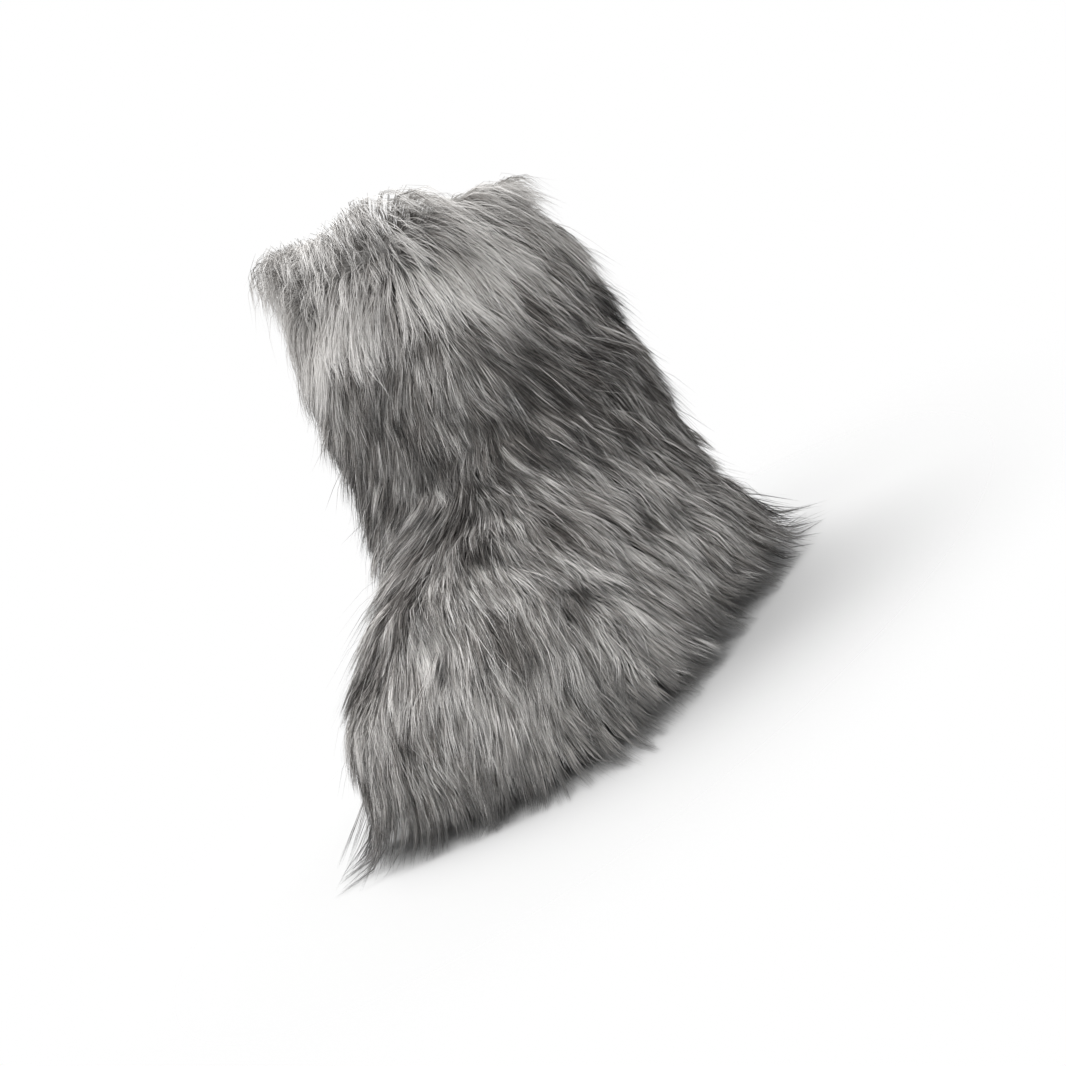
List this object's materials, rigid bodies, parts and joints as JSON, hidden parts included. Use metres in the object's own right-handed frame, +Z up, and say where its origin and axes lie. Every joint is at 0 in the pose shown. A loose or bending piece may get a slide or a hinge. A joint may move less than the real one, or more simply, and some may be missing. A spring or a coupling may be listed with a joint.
{
  "type": "snow boot",
  "caption": "Ankle-high winter boot for the left foot, with a deep-pile faux fur upper that hangs to the floor, an open collar and a lugged rubber sole.",
  "frame": {"origin": "middle of the boot's bounding box, on the floor it stands on", "axes": "+X to the toe, +Y to the wearer's left, which is the outer side of this left shoe, +Z up"},
  "size_m": [0.329, 0.1686, 0.267],
  "materials": {
    "fur": "long-pile faux fur, mottled grey with silver streaks and black tips, matte with a soft sheen",
    "lining": "short curly plush, matte",
    "sole_rubber": "matte moulded rubber",
    "insole_felt": "brushed felt, matte"
  },
  "bodies": {
    "root": {"upper": "fur", "outsole": "sole_rubber", "insole": "insole_felt"}
  },
  "joints": []
}
